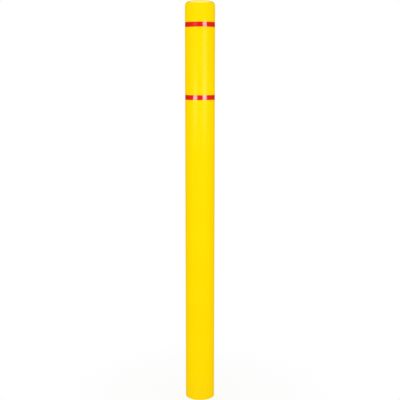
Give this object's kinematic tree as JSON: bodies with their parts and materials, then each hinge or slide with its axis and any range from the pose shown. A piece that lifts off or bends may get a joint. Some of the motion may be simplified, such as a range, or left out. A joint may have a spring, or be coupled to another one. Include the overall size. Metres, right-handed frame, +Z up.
{
  "type": "bollard cover sleeve",
  "caption": "Tall round plastic sleeve with a closed, rounded top and reflective bands near it, which slides over a steel post on foam strips to protect it and make it easy to see.",
  "frame": {"origin": "centre of the open end, on the surface that the sleeve stands on", "axes": "+Z up along the sleeve's axis to its closed top, -Y towards the front, away from the lap of the tapes"},
  "size_m": [0.1205, 0.1206, 1.651],
  "materials": {
    "sleeve_plastic": "satin moulded polyethylene",
    "reflective_film": "glossy reflective film",
    "foam": "closed-cell foam"
  },
  "bodies": {
    "root": {"sleeve_shell": "sleeve_plastic", "upper_reflective_tape": "reflective_film", "lower_reflective_tape": "reflective_film", "lower_foam_strip_front": "foam", "lower_foam_strip_right": "foam", "lower_foam_strip_back": "foam", "lower_foam_strip_left": "foam", "upper_foam_strip_front": "foam", "upper_foam_strip_right": "foam", "upper_foam_strip_back": "foam", "upper_foam_strip_left": "foam"}
  },
  "joints": []
}
